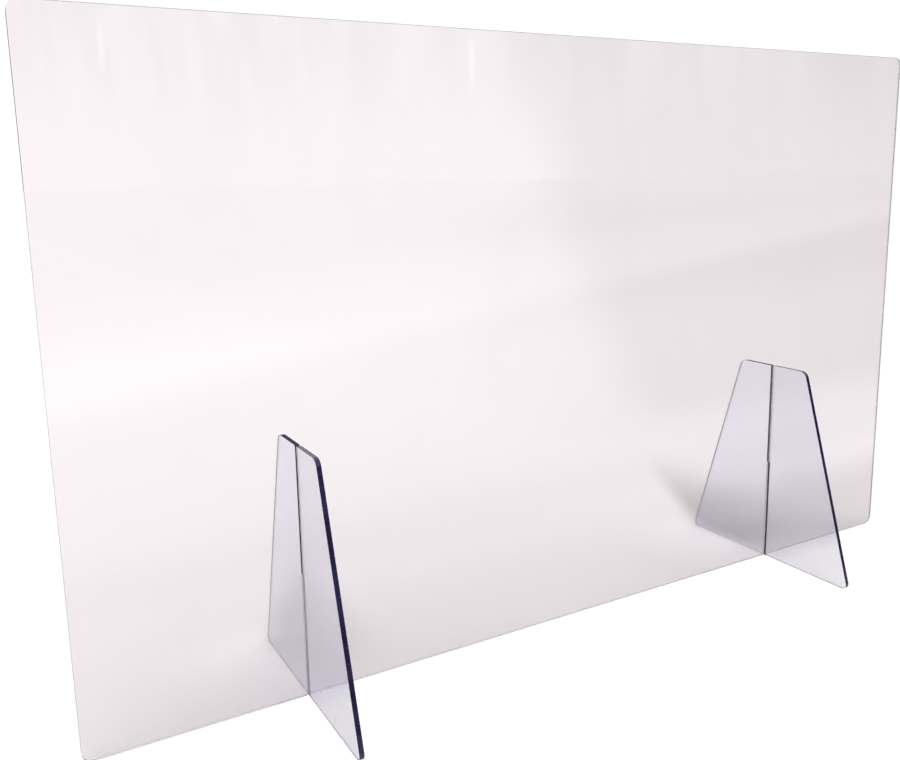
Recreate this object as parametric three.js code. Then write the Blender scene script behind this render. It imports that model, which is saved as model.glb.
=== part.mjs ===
// Countertop sneeze guard: a clear upright panel that stands in two clear feet.
//
// The panel is slotted upwards from its bottom edge and each foot downwards from its top edge, both to
// half the foot's height, so the two sheets slide through each other in a cross lap. Nothing is screwed
// or glued: the panel lifts straight up out of its feet. All three pieces stand on the counter.
//
// Millimetres. +Z is up, +X runs along the panel and Y is the way that people look through it. The
// origin is on the counter, under the middle of the panel.

import * as THREE from 'three';

// Sheet
const SHEET = 4.76; // 3/16 in polycarbonate, the stock of all three pieces

// Panel
const PANEL_WIDTH = 1016; // 40 in
const PANEL_HEIGHT = 609.6; // 24 in
const PANEL_CORNER = 9.5; // radius of its four corners

// Feet: trapeziums, wider on the counter than at the top
const FOOT_OFFSET = 304.8; // 12 in from the panel's middle to each foot
const FOOT_HEIGHT = 243;
const FOOT_BASE = 241; // front to back on the counter
const FOOT_TOP = 97; // front to back at the top
const FOOT_BASE_CORNER = 6; // radius
const FOOT_TOP_CORNER = 9.5; // radius

// Cross lap
const SLOT_CLEARANCE = 0.3; // between a slot's wall and the sheet in it, each side
const SLOT_WIDTH = SHEET + 2 * SLOT_CLEARANCE;
const SLOT_MOUTH = 1.2; // radius that leads the other sheet into the slot
const LAP_HEIGHT = FOOT_HEIGHT / 2; // where the two slots end
const LAP_GAP = 1; // left between the slot ends, so that all three pieces reach the counter

const ARC_SEGMENTS = 8; // steps along each rounded corner

const corner = (x, y, radius = 0) => ({ at: new THREE.Vector2(x, y), radius });

// A closed outline through its corners, each rounded to its own radius. The corners run anticlockwise,
// and the first one is rounded. absarc draws the straight side that leads to its arc.
function roundedOutline(corners) {
  const outline = new THREE.Shape();
  corners.forEach(({ at, radius }, i) => {
    if (radius === 0) {
      outline.lineTo(at.x, at.y);
      return;
    }
    const back = corners.at(i - 1).at.clone().sub(at).normalize();
    const ahead = corners[(i + 1) % corners.length].at.clone().sub(at).normalize();
    const halfAngle = Math.acos(back.dot(ahead)) / 2;
    const start = at.clone().addScaledVector(back, radius / Math.tan(halfAngle));
    const middle = back.clone().add(ahead).normalize();
    const centre = at.clone().addScaledVector(middle, radius / Math.sin(halfAngle));
    const from = start.sub(centre).angle();
    const turn = Math.PI - 2 * halfAngle;
    const inward = back.cross(ahead) > 0; // a hollow corner, where the arc runs clockwise
    outline.absarc(centre.x, centre.y, radius, from, from + (inward ? -turn : turn), inward);
  });
  outline.closePath();
  return outline;
}

// A flat piece cut from the sheet.
function cutSheet(outline) {
  return new THREE.ExtrudeGeometry(outline, {
    depth: SHEET,
    bevelEnabled: false,
    curveSegments: ARC_SEGMENTS,
  });
}

// The panel's outline: x along the counter, y up. Each slot is open at the bottom edge.
function panelOutline() {
  const halfWidth = PANEL_WIDTH / 2;
  const slotEnd = LAP_HEIGHT + LAP_GAP / 2;
  const slot = (x) => [
    corner(x - SLOT_WIDTH / 2, 0, SLOT_MOUTH),
    corner(x - SLOT_WIDTH / 2, slotEnd),
    corner(x + SLOT_WIDTH / 2, slotEnd),
    corner(x + SLOT_WIDTH / 2, 0, SLOT_MOUTH),
  ];
  return roundedOutline([
    corner(-halfWidth, 0, PANEL_CORNER),
    ...slot(-FOOT_OFFSET),
    ...slot(FOOT_OFFSET),
    corner(halfWidth, 0, PANEL_CORNER),
    corner(halfWidth, PANEL_HEIGHT, PANEL_CORNER),
    corner(-halfWidth, PANEL_HEIGHT, PANEL_CORNER),
  ]);
}

// A foot's outline: x from front to back, y up. Its slot is open at the top edge.
function footOutline() {
  const slotEnd = LAP_HEIGHT - LAP_GAP / 2;
  return roundedOutline([
    corner(-FOOT_BASE / 2, 0, FOOT_BASE_CORNER),
    corner(FOOT_BASE / 2, 0, FOOT_BASE_CORNER),
    corner(FOOT_TOP / 2, FOOT_HEIGHT, FOOT_TOP_CORNER),
    corner(SLOT_WIDTH / 2, FOOT_HEIGHT, SLOT_MOUTH),
    corner(SLOT_WIDTH / 2, slotEnd),
    corner(-SLOT_WIDTH / 2, slotEnd),
    corner(-SLOT_WIDTH / 2, FOOT_HEIGHT, SLOT_MOUTH),
    corner(-FOOT_TOP / 2, FOOT_HEIGHT, FOOT_TOP_CORNER),
  ]);
}

const panelMaterial = new THREE.MeshStandardMaterial({
  color: 0xeceaee,
  roughness: 0.06,
  metalness: 0,
  transparent: true,
  opacity: 0.35,
});

const footMaterial = new THREE.MeshStandardMaterial({
  color: 0xd6d3e2,
  roughness: 0.06,
  metalness: 0,
  transparent: true,
  opacity: 0.5,
});

// The outline stands up, with the sheet's thickness centred on y = 0.
function panel() {
  const mesh = new THREE.Mesh(cutSheet(panelOutline()), panelMaterial);
  mesh.name = 'panel';
  mesh.rotation.x = Math.PI / 2;
  mesh.position.y = SHEET / 2;
  return mesh;
}

// The outline stands up across the panel, with the sheet's thickness centred on x.
function foot(name, x) {
  const mesh = new THREE.Mesh(cutSheet(footOutline()), footMaterial);
  mesh.name = name;
  mesh.rotation.set(Math.PI / 2, Math.PI / 2, 0);
  mesh.position.x = x - SHEET / 2;
  return mesh;
}

const sneezeGuard = new THREE.Group();
sneezeGuard.add(panel(), foot('left_foot', -FOOT_OFFSET), foot('right_foot', FOOT_OFFSET));

export default sneezeGuard;
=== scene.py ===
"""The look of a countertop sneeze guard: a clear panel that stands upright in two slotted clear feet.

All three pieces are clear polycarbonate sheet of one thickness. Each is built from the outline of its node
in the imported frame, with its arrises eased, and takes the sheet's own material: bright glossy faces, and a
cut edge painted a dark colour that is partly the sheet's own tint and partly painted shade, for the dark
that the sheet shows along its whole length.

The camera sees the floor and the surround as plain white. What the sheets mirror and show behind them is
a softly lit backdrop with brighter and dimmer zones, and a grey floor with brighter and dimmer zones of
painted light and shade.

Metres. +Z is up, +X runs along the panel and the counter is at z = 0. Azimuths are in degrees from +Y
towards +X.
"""

import math

import bmesh
import bpy
from mathutils import Matrix, Vector


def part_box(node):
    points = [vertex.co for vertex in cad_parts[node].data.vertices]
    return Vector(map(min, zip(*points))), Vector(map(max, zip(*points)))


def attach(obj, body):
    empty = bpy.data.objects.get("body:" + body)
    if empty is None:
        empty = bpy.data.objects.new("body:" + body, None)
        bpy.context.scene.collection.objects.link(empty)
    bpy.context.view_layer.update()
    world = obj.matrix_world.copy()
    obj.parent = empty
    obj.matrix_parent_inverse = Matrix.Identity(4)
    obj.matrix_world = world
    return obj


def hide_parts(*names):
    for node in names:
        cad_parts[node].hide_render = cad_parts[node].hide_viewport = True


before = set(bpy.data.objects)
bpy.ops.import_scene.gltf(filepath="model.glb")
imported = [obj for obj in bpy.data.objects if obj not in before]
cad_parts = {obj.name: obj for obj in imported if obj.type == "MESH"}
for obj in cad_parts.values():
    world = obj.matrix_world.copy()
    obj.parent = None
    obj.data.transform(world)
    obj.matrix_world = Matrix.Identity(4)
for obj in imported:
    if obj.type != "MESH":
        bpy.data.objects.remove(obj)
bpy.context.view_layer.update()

MM = 0.001

# ---------------------------------------------------------------- pieces

# new piece: (CAD node and body, material slot, axis of the sheet's thickness)
PIECES = {
    "panel_sheet": ("panel", "panel_sheet", 1),
    "left_foot_sheet": ("left_foot", "foot_sheet", 0),
    "right_foot_sheet": ("right_foot", "foot_sheet", 0),
}
ARRIS = 0.2 * MM  # how far the sheet's sharp edges are eased
ARRIS_SEGMENTS = 2
WELD = 0.001 * MM
FLAT = math.radians(1)  # faces this close to coplanar are one face
SHARP = math.radians(40)
FACE_LIMIT = 0.9  # how squarely a broad face looks along the sheet's thickness
ARRIS_LIMIT = 0.1


def broad(face, axis):
    """True for one of the sheet's two broad faces."""
    return abs(face.normal[axis]) > FACE_LIMIT


def cut_sheet(name, node, axis):
    """The CAD node's outline as clean polygons, with eased arrises and its cut edge marked."""
    mesh = bpy.data.meshes.new(name)
    form = bmesh.new()
    form.from_mesh(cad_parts[node].data)
    bmesh.ops.remove_doubles(form, verts=form.verts, dist=WELD)
    bmesh.ops.dissolve_limit(form, angle_limit=FLAT, verts=form.verts, edges=form.edges)
    arrises = [e for e in form.edges if sum(broad(f, axis) for f in e.link_faces) == 1]
    bmesh.ops.bevel(
        form, geom=arrises, offset=ARRIS, segments=ARRIS_SEGMENTS, profile=0.5, affect="EDGES"
    )
    cut = form.faces.layers.float.new("cut_edge")
    arris = form.faces.layers.float.new("arris")
    for face in form.faces:
        face.smooth = True
        face[cut] = 0.0 if broad(face, axis) else 1.0
        face[arris] = float(ARRIS_LIMIT < abs(face.normal[axis]) < FACE_LIMIT)
    for edge in form.edges:
        edge.smooth = edge.calc_face_angle(0) < SHARP
    form.to_mesh(mesh)
    form.free()
    piece = bpy.data.objects.new(name, mesh)
    bpy.context.scene.collection.objects.link(piece)
    normals = piece.modifiers.new("flat_faces", "WEIGHTED_NORMAL")
    normals.keep_sharp = True
    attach(piece, node)
    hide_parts(node)
    return piece


# ---------------------------------------------------------------- nodes


def add(tree, kind, settings=None, **inputs):
    """A node with its settings and inputs; an input is a number, a tuple or another node's socket."""
    node = tree.nodes.new(kind)
    for key, value in (settings or {}).items():
        setattr(node, key, value)
    for key, value in inputs.items():
        numbered = key[0] == "i" and key[1:].isdigit()
        socket = node.inputs[int(key[1:])] if numbered else node.inputs[key]
        if isinstance(value, bpy.types.NodeSocket):
            tree.links.new(value, socket)
        else:
            socket.default_value = value
    return node


def blend(tree, factor, start, end, kind="FLOAT"):
    """Mixes two numbers or colours by factor."""
    first, second = {"FLOAT": (2, 3), "RGBA": (6, 7)}[kind]
    node = add(tree, "ShaderNodeMix", {"data_type": kind}, i0=factor)
    for index, value in ((first, start), (second, end)):
        if isinstance(value, bpy.types.NodeSocket):
            tree.links.new(value, node.inputs[index])
        else:
            node.inputs[index].default_value = (*value, 1) if kind == "RGBA" else value
    return node.outputs[{"FLOAT": 0, "RGBA": 2}[kind]]


def math_node(tree, operation, *values):
    inputs = {f"i{n}": value for n, value in enumerate(values)}
    return add(tree, "ShaderNodeMath", {"operation": operation}, **inputs).outputs[0]


def product(tree, *values):
    total = values[0]
    for value in values[1:]:
        total = math_node(tree, "MULTIPLY", total, value)
    return total


def smooth(tree, value, low, high, start=0.0, end=1.0):
    """Runs smoothly from start to end as value goes from low to high."""
    ramp = add(tree, "ShaderNodeMapRange", {"interpolation_type": "SMOOTHSTEP"}, i0=value)
    for socket, number in zip(list(ramp.inputs)[1:5], (low, high, start, end)):
        socket.default_value = number
    return ramp.outputs[0]


def noise(tree, place, scale, detail=2.0, roughness=0.5, cover=None):
    """Noise with features 1/scale metres long, scale given along x, y and z.

    With cover, it goes from 0 to 1 between those two levels of the noise.
    """
    stretched = add(tree, "ShaderNodeVectorMath", {"operation": "MULTIPLY"}, i0=place)
    stretched.inputs[1].default_value = scale
    node = add(tree, "ShaderNodeTexNoise", Vector=stretched.outputs[0], Detail=detail, Roughness=roughness)
    node.inputs["Scale"].default_value = 1
    return smooth(tree, node.outputs[0], *cover) if cover else node.outputs[0]


def along(tree, vector, direction):
    node = add(tree, "ShaderNodeVectorMath", {"operation": "DOT_PRODUCT"}, i0=vector)
    node.inputs[1].default_value = direction
    return node.outputs["Value"]


def ahead(azimuth):
    """The level direction at an azimuth."""
    turn = math.radians(azimuth)
    return (math.sin(turn), math.cos(turn), 0)


def right_of(azimuth, tilt=0):
    """The direction to the right of an azimuth, raised by tilt."""
    turn, rise = math.radians(azimuth), math.radians(tilt)
    return (math.cos(turn) * math.cos(rise), -math.sin(turn) * math.cos(rise), math.sin(rise))


# ---------------------------------------------------------------- materials

IOR = 1.585
# absorbed per metre of sheet in red, green and blue
STOCK = {"panel_sheet": (25.6, 31.6, 29.2), "foot_sheet": (33.0, 32.0, 18.0)}

# faces
CLEAR = (1, 1, 1)
WIPED = (0.985, 0.98, 0.985)  # under a smear
SMEARS = {"scale": (9, 9, 5), "detail": 3, "roughness": 0.6, "cover": (0.48, 0.75)}
SMEAR_ROUGHNESS = 0.04
HAIRLINES = {"scale": (700, 700, 14), "detail": 1, "cover": (0.66, 0.76)}
HAIRLINE_ROUGHNESS = 0.06
WAVES = {"scale": (9, 9, 2.5), "detail": 1}
WAVE_HEIGHT = 0.08 * MM

# cut edges, painted a dark colour that is partly the sheet's own tint and partly painted shade
CUT_DARK = (0.012, 0.008, 0.07)
CUT_LIGHT = (0.028, 0.020, 0.12)
CUT_PATCHES = {"scale": (60, 60, 60), "cover": (0.35, 0.65)}  # where the edge is light
CUT_TRANSMISSION = 0.55
# tool marks: fine along the outline, long across the thickness
MARK_SCALE = {"panel_sheet": (900, 40, 900), "foot_sheet": (40, 900, 900)}
MARKS = {"detail": 2, "roughness": 0.6}
MARK_ROUGHNESS = (0.3, 0.7, 0.12, 0.3)  # from two levels of the marks to two of roughness
MARK_HEIGHT = 0.006 * MM
WORN = (0.12, 0.11, 0.17)  # in a nick on an arris
NICKS = {"scale": (300, 300, 300), "cover": (0.56, 0.62)}
NICK_ROUGHNESS = 0.55


def polycarbonate(slot):
    """Clear sheet: faint smears and hairlines on its faces, fine tool marks on its cut edge."""
    material = bpy.data.materials.new(slot)
    material.use_nodes = True
    tree = material.node_tree
    tree.nodes.clear()
    place = add(tree, "ShaderNodeTexCoord").outputs["Object"]
    cut = add(tree, "ShaderNodeAttribute", {"attribute_name": "cut_edge"}).outputs["Fac"]
    arris = add(tree, "ShaderNodeAttribute", {"attribute_name": "arris"}).outputs["Fac"]

    smears = noise(tree, place, **SMEARS)
    hairlines = noise(tree, place, **HAIRLINES)
    face_colour = blend(tree, smears, CLEAR, WIPED, "RGBA")
    smeared = product(tree, smears, SMEAR_ROUGHNESS)
    scratched = product(tree, hairlines, HAIRLINE_ROUGHNESS)
    face_roughness = math_node(tree, "MAXIMUM", smeared, scratched)
    face_height = product(tree, noise(tree, place, **WAVES), WAVE_HEIGHT)

    marks = noise(tree, place, MARK_SCALE[slot], **MARKS)
    nicks = product(tree, arris, noise(tree, place, **NICKS))
    # painted shade: the cut edge's dark colour, partly the sheet's own tint, with wear where an arris is
    # nicked
    edge_tint_and_shade = blend(tree, noise(tree, place, **CUT_PATCHES), CUT_DARK, CUT_LIGHT, "RGBA")
    edge_tint_and_shade = blend(tree, nicks, edge_tint_and_shade, WORN, "RGBA")
    edge_roughness = blend(tree, nicks, smooth(tree, marks, *MARK_ROUGHNESS), NICK_ROUGHNESS)
    edge_height = product(tree, marks, MARK_HEIGHT)

    bump = add(tree, "ShaderNodeBump", Strength=1.0, Distance=1.0)
    tree.links.new(blend(tree, cut, face_height, edge_height), bump.inputs["Height"])
    shader = add(tree, "ShaderNodeBsdfPrincipled", IOR=IOR, Normal=bump.outputs[0])
    tree.links.new(blend(tree, cut, face_colour, edge_tint_and_shade, "RGBA"), shader.inputs["Base Color"])
    tree.links.new(blend(tree, cut, face_roughness, edge_roughness), shader.inputs["Roughness"])
    tree.links.new(blend(tree, cut, 1.0, CUT_TRANSMISSION), shader.inputs["Transmission Weight"])
    absorbed = STOCK[slot]
    density = max(absorbed)
    absorb = add(tree, "ShaderNodeVolumeAbsorption", Density=density)
    absorb.inputs["Color"].default_value = (*(1 - a / density for a in absorbed), 1)
    add(tree, "ShaderNodeOutputMaterial", Surface=shader.outputs[0], Volume=absorb.outputs[0])
    return material


# ---------------------------------------------------------------- stage

# A run is four numbers: where it starts and ends, and the level before and after it. Where it has only
# two, the level goes from 0 to 1. On the floor it starts and ends at metres, in the surround at parts of
# a direction, so that a height of 1 is straight up.

WHITE = 1.05  # what the camera sees of the floor and surround, a little over white
MIRRORED_FLOOR = 0.1  # level of the room in front of the panel, as the sheets mirror it
FADE_OUT = (1.0, 0.0)


def mirrored_ray(tree, path):
    """1 on a ray that a sheet has mirrored; a ray that goes through it counts as glossy too."""
    stays = math_node(tree, "SUBTRACT", 1.0, path.outputs["Is Transmission Ray"])
    return math_node(tree, "MULTIPLY", path.outputs["Is Glossy Ray"], stays)


# ---------------------------------------------------------------- floor

FLOOR_RADIUS = 200
FLOOR_SEGMENTS = 64
FLOOR_DROP = 0.02 * MM  # keeps the floor clear of the edges that stand on it
FLOOR_GREY = 0.80
FLOOR_ROUGHNESS = 0.8

# painted light: a bright stripe on the floor that lies square to its azimuth, some way behind the panel
STRIPE_AZIMUTH = -25
STRIPE = (1.05, 1.5, 1.0, 1.07)
PAST_STRIPE = (1.6, 4.0, 1.0, 0.965)

# painted shade: a dim wedge on the right, which spreads from a point; its runs are in tangents of the angle
# from its azimuth
WEDGE_AT = Vector((-0.392, -0.828, 0))
WEDGE_AZIMUTH = 36
WEDGE = (-0.05, 0.04, 1.0, 0.90)
SHADE_LEAD = (-0.2, -0.02, 1.0, 0.97)  # painted shade that leads up to the wedge
SHADE_LEAD_ENDS = (8, 30)  # from the wedge's point
WEDGE_STARTS = (0.35, 0.7)  # behind the panel
WEDGE_NEAREST = 0.3  # keeps the tangents finite beside and behind the wedge's point

# painted light and shade on the floor, along Y, from the panel
# painted light: the floor in front of the panel is lighter, and warmer in tint
FRONT = (-0.04, 0.0, 1.12, 1.0)
FRONT_TINT = (1, 1, 0.95)
DARK_FRONT = (0.2, 0.35)  # where the floor is painted dark in what the sheets mirror, towards -Y
# painted shade: the floor close to the panel is a little darker
CLOSE = (0.25, 0.5, *FADE_OUT)
CLOSE_ACROSS = (-0.5, 0.3, 0.95, 0.97)  # along X
# painted light in the middle of the floor, and painted shade past it
MIDDLE = (0.12, 0.35, 1.0, 1.055)
PAST_MIDDLE = (1.2, 2.6, 1.0, 0.955)
# painted shade in the corner on the right, close to the panel
CORNER = (0.1, 0.25, *FADE_OUT)
CORNER_ACROSS = (0.33, 0.5, 1.0, 0.83)  # along X

# each foot's painted shade on the floor: the floor's level in it, how wide it is, and its run behind the
# panel
PAINTED_FOOT_SHADE = {"left_foot": (0.66, 0.13, (0.0, 0.15)), "right_foot": (0.56, 0.21, (-0.03, 0.07))}
# along X from the middle of the foot
SHADE_STARTS = (-0.015, 0.025)
SHADE_FULL = 0.02
GLOW_RISES = (-0.14, -0.02)
GLOW_STOPS = (-0.015, 0.01, *FADE_OUT)
# along Y from the back of the foot
SHADE_ENDS = (0.01, 0.16)
GLOW_ENDS = 0.08
GLOW_FADES = 0.06  # along Y from the panel
FOOT_GLOW = 1.17  # painted light on the floor on the foot's other side, standing in for light that the foot throws on it
SHADE_SLANT = 0.9  # the shade reaches further back as it goes right
SHADE_LEAN = 0.5  # and past the foot it starts further right


def painted_foot_shade(tree, x, y):
    """Soft painted shade on the floor behind the panel, to the right of each foot, and a painted glow to its
    left.
    """
    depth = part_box("right_foot")[1][1]
    past = math_node(tree, "MAXIMUM", math_node(tree, "SUBTRACT", y, depth), 0.0)
    ends = [depth + reach for reach in SHADE_ENDS]
    level = 1.0
    for foot, (shade, width, run) in PAINTED_FOOT_SHADE.items():
        behind = smooth(tree, y, *run)
        middle = sum(corner[0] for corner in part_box(foot)) / 2
        aside = math_node(tree, "SUBTRACT", x, middle)
        leaning = math_node(tree, "SUBTRACT", aside, product(tree, past, SHADE_LEAN))
        slanted = math_node(tree, "SUBTRACT", y, product(tree, aside, SHADE_SLANT))
        shaded = product(
            tree,
            behind,
            smooth(tree, leaning, *SHADE_STARTS),
            smooth(tree, aside, SHADE_FULL, width, *FADE_OUT),
            smooth(tree, slanted, *ends, *FADE_OUT),
        )
        glowing = product(
            tree,
            behind,
            smooth(tree, aside, *GLOW_RISES),
            smooth(tree, aside, *GLOW_STOPS),
            smooth(tree, y, GLOW_FADES, depth + GLOW_ENDS, *FADE_OUT),
        )
        level = blend(tree, shaded, level, shade)
        level = product(tree, level, blend(tree, glowing, 1.0, FOOT_GLOW))
    return level


# painted light: the floor's bright stripe
def stripe(tree, place):
    across = along(tree, place, ahead(STRIPE_AZIMUTH))
    return product(tree, smooth(tree, across, *STRIPE), smooth(tree, across, *PAST_STRIPE))


# painted shade: the floor's dim wedge
def wedge(tree, place, y):
    there = add(tree, "ShaderNodeVectorMath", {"operation": "SUBTRACT"}, i0=place)
    there.inputs[1].default_value = WEDGE_AT
    away = along(tree, there.outputs[0], ahead(WEDGE_AZIMUTH))
    away = math_node(tree, "MAXIMUM", away, WEDGE_NEAREST)
    aside = along(tree, there.outputs[0], right_of(WEDGE_AZIMUTH))
    tangent = math_node(tree, "DIVIDE", aside, away)
    shade_lead = blend(tree, smooth(tree, away, *SHADE_LEAD_ENDS), smooth(tree, tangent, *SHADE_LEAD), 1.0)
    dim = product(tree, shade_lead, smooth(tree, tangent, *WEDGE))
    return blend(tree, smooth(tree, y, *WEDGE_STARTS), 1.0, dim)


def floor_grey_and_painted_light(tree, place, path):
    """The floor's grey, with light and shade painted in from place to place, and painted dark where the
    sheets mirror it far in front.
    """
    x, y, _ = add(tree, "ShaderNodeSeparateXYZ", i0=place).outputs
    dark_front = smooth(tree, along(tree, place, (0, -1, 0)), *DARK_FRONT)
    return product(
        tree,
        FLOOR_GREY,
        stripe(tree, place),
        wedge(tree, place, y),
        painted_foot_shade(tree, x, y),
        smooth(tree, y, *FRONT),
        blend(tree, product(tree, dark_front, mirrored_ray(tree, path)), 1.0, MIRRORED_FLOOR),
        blend(tree, smooth(tree, y, *CLOSE), 1.0, smooth(tree, x, *CLOSE_ACROSS)),
        smooth(tree, y, *MIDDLE),
        smooth(tree, y, *PAST_MIDDLE),
        blend(tree, smooth(tree, y, *CORNER), 1.0, smooth(tree, x, *CORNER_ACROSS)),
    )


def floor():
    mesh = bpy.data.meshes.new("floor")
    form = bmesh.new()
    bmesh.ops.create_circle(form, cap_ends=True, segments=FLOOR_SEGMENTS, radius=FLOOR_RADIUS)
    form.to_mesh(mesh)
    form.free()
    ground = bpy.data.objects.new("floor", mesh)
    bpy.context.scene.collection.objects.link(ground)
    ground.location.z = -FLOOR_DROP
    material = bpy.data.materials.new("floor")
    material.use_nodes = True
    tree = material.node_tree
    shader = tree.nodes["Principled BSDF"]
    path = add(tree, "ShaderNodeLightPath")
    place = add(tree, "ShaderNodeTexCoord").outputs["Object"]
    # the floor's colour: grey with painted light and shade, lighter and warmer in front of the panel
    behind = smooth(tree, along(tree, place, (0, 1, 0)), *FRONT[:2])
    tint = blend(tree, behind, FRONT_TINT, CLEAR, "RGBA")
    level = floor_grey_and_painted_light(tree, place, path)
    colour = add(tree, "ShaderNodeVectorMath", {"operation": "SCALE"}, i0=tint, Scale=level)
    tree.links.new(colour.outputs[0], shader.inputs["Base Color"])
    shader.inputs["Roughness"].default_value = FLOOR_ROUGHNESS
    shader.inputs["Specular IOR Level"].default_value = 0
    white = add(tree, "ShaderNodeEmission", Strength=WHITE)
    seen = add(
        tree,
        "ShaderNodeMixShader",
        i0=path.outputs["Is Camera Ray"],
        i1=shader.outputs[0],
        i2=white.outputs[0],
    )
    tree.links.new(seen.outputs[0], tree.nodes["Material Output"].inputs["Surface"])
    mesh.materials.append(material)


# ---------------------------------------------------------------- surround

# light that falls on the floor, and what is left of it after a sheet, by the side that it comes from
FLOOR_LIGHT = 1.37
SHADE_FROM_FRONT = 0.76
SHADE_FROM_SIDE = 0.45
FROM_FRONT = (-0.1, 0.2)
FROM_SIDE = (0.35, 0.85)

# the backdrop, as seen through the sheets
BACKDROP_TINT = (1, 0.972, 0.982)
LOW_LIGHT = (0.02, 0.17, 1.03, 0.99)
HIGH_LIGHT = (0.2, 0.8, 1.0, 1.5)
RAISED = (0.0, 0.15)  # where the backdrop's own pattern sets in, above the horizon
BAND_AZIMUTH, BAND_TILT = 37, 19  # the backdrop is brighter to the left of a leaning line
BAND_EDGE = (-0.04, 0.04)
BAND_LEFT = 1.12
BAND_RIGHT = (*RAISED, 1.0, 1.02)
BAND_STARTS = (0.0, 0.3)  # along Y
BAND_ELSEWHERE = 1.04
FAR_RIGHT_AZIMUTH = 50
FAR_RIGHT = (-0.02, 0.08, 1.0, 0.93)
STREAKS = {"scale": (30, 30, 3), "detail": 3, "roughness": 0.6}
STREAK_LEVELS = (0.3, 0.7, 0.97, 1.03)

# the room in front, as the sheets mirror it: dark, with a light top and two upright lamps
ROOM = (0.2, 0.6, MIRRORED_FLOOR, 1.0)
LAMPS = ((9.4, 8.2), (31.4, 7.0))  # degrees from -Y towards +X, and elevation
LAMP_LIGHT = 1.3
LAMP_SIDE = (0.001, 0.005, *FADE_OUT)
LAMP_END = (0.0, 0.035, *FADE_OUT)


def lamp(tree, where, height, azimuth, elevation):
    """A narrow upright lamp in front of the panel, seen only in what the sheets mirror."""
    turn = math.radians(azimuth)
    aside = math_node(tree, "ABSOLUTE", along(tree, where, (math.cos(turn), math.sin(turn), 0)))
    level = math_node(tree, "SUBTRACT", height, math.sin(math.radians(elevation)))
    level = math_node(tree, "ABSOLUTE", level)
    return product(tree, smooth(tree, aside, *LAMP_SIDE), smooth(tree, level, *LAMP_END), LAMP_LIGHT)


def backdrop(tree, where, height):
    raised = smooth(tree, height, *RAISED)
    right = smooth(tree, along(tree, where, right_of(BAND_AZIMUTH, BAND_TILT)), *BAND_EDGE)
    band = blend(tree, right, BAND_LEFT, smooth(tree, height, *BAND_RIGHT))
    far_right = smooth(tree, along(tree, where, right_of(FAR_RIGHT_AZIMUTH)), *FAR_RIGHT)
    streaks = smooth(tree, noise(tree, where, **STREAKS), *STREAK_LEVELS)
    return product(
        tree,
        smooth(tree, height, *LOW_LIGHT),
        smooth(tree, height, *HIGH_LIGHT),
        blend(tree, smooth(tree, along(tree, where, (0, 1, 0)), *BAND_STARTS), BAND_ELSEWHERE, band),
        blend(tree, raised, 1.0, far_right),
        blend(tree, raised, 1.0, streaks),
    )


def room(tree, where, height):
    level = smooth(tree, height, *ROOM)
    for azimuth, elevation in LAMPS:
        level = math_node(tree, "ADD", level, lamp(tree, where, height, azimuth, elevation))
    return level


def sheet_shade(tree, where):
    """What a sheet leaves of the light that goes through it to the floor."""
    from_front = smooth(tree, along(tree, where, (0, -1, 0)), *FROM_FRONT)
    from_side = math_node(tree, "ABSOLUTE", along(tree, where, (1, 0, 0)))
    front = blend(tree, from_front, 1.0, SHADE_FROM_FRONT)
    return blend(tree, smooth(tree, from_side, *FROM_SIDE), front, SHADE_FROM_SIDE)


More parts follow.
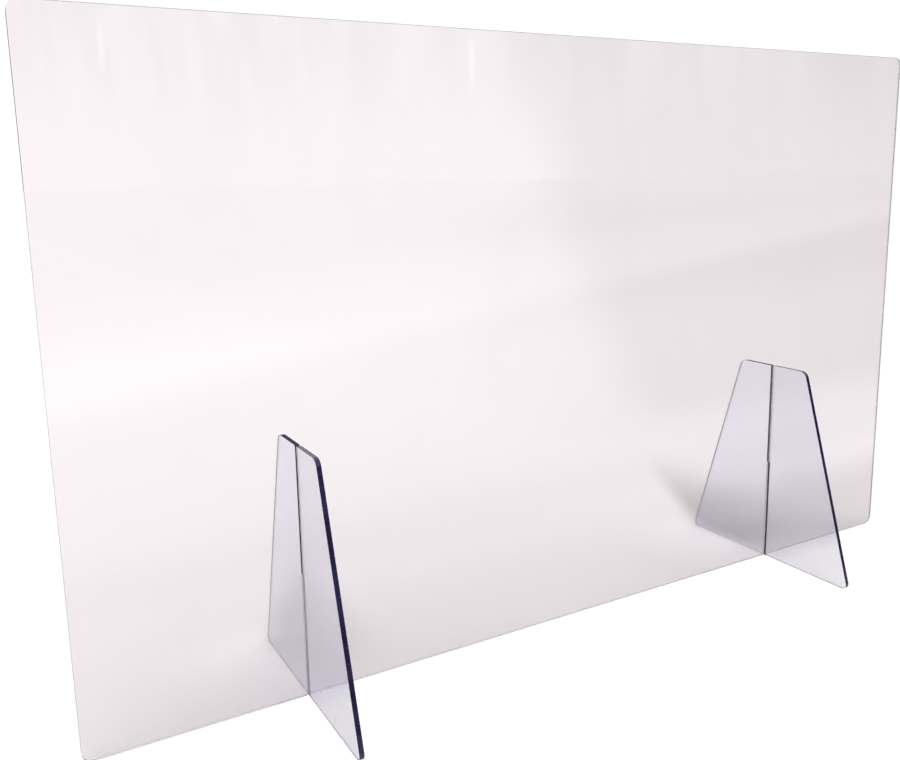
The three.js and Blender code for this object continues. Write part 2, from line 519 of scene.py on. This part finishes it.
def studio():
    """A white surround, which lights the floor and shows the sheets a backdrop and a room."""
    world = bpy.data.worlds.new("studio")
    bpy.context.scene.world = world
    world.use_nodes = True
    tree = world.node_tree
    tree.nodes.clear()
    where = add(tree, "ShaderNodeTexCoord").outputs["Generated"]
    height = add(tree, "ShaderNodeSeparateXYZ", i0=where).outputs[2]
    path = add(tree, "ShaderNodeLightPath")
    on_floor = math_node(tree, "GREATER_THAN", path.outputs["Diffuse Depth"], 0.5)

    shaded = product(tree, sheet_shade(tree, where), FLOOR_LIGHT)
    seen_through = blend(tree, on_floor, backdrop(tree, where, height), shaded)
    seen_mirrored = blend(tree, on_floor, room(tree, where, height), FLOOR_LIGHT)
    level = blend(tree, mirrored_ray(tree, path), FLOOR_LIGHT, seen_mirrored)
    level = blend(tree, path.outputs["Is Transmission Ray"], level, seen_through)
    tint = add(tree, "ShaderNodeBackground", Strength=level, Color=(*BACKDROP_TINT, 1))
    white = add(tree, "ShaderNodeBackground", Strength=WHITE, Color=(*CLEAR, 1))
    seen = add(
        tree,
        "ShaderNodeMixShader",
        i0=path.outputs["Is Camera Ray"],
        i1=tint.outputs[0],
        i2=white.outputs[0],
    )
    add(tree, "ShaderNodeOutputWorld", Surface=seen.outputs[0])


# ---------------------------------------------------------------- camera

CAMERA_AT = Vector((-566.0, -735.1, 473.6)) * MM
CAMERA_AZIMUTH = 28.376
CAMERA_ELEVATION = -10.231
CAMERA_ROLL = -1.351
LENS = 35.73
SENSOR = 36
SHIFT = (0.0236, -0.0428)
CLIP = (0.01, 1000)
BOUNCES = 64  # enough for light that runs along inside a sheet
FLOOR_BOUNCES = 4


def camera():
    data = bpy.data.cameras.new("camera")
    data.lens = LENS
    data.sensor_width = SENSOR
    data.shift_x, data.shift_y = SHIFT
    data.clip_start, data.clip_end = CLIP
    cam = bpy.data.objects.new("camera", data)
    bpy.context.scene.collection.objects.link(cam)
    turn = (
        Matrix.Rotation(-math.radians(CAMERA_AZIMUTH), 3, "Z")
        @ Matrix.Rotation(math.radians(90 + CAMERA_ELEVATION), 3, "X")
        @ Matrix.Rotation(math.radians(CAMERA_ROLL), 3, "Z")
    )
    cam.location = CAMERA_AT
    cam.rotation_euler = turn.to_euler()
    bpy.context.scene.camera = cam


def look():
    scene = bpy.context.scene
    scene.view_settings.view_transform = "Standard"
    scene.cycles.max_bounces = BOUNCES
    scene.cycles.glossy_bounces = BOUNCES
    scene.cycles.transmission_bounces = BOUNCES
    scene.cycles.diffuse_bounces = FLOOR_BOUNCES
    scene.cycles.use_denoising = True
    scene.cycles.blur_glossy = 0  # keeps what the sheets show sharp


sheets = {slot: polycarbonate(slot) for slot in STOCK}
for name, (node, slot, axis) in PIECES.items():
    cut_sheet(name, node, axis).data.materials.append(sheets[slot])
floor()
studio()
camera()
look()
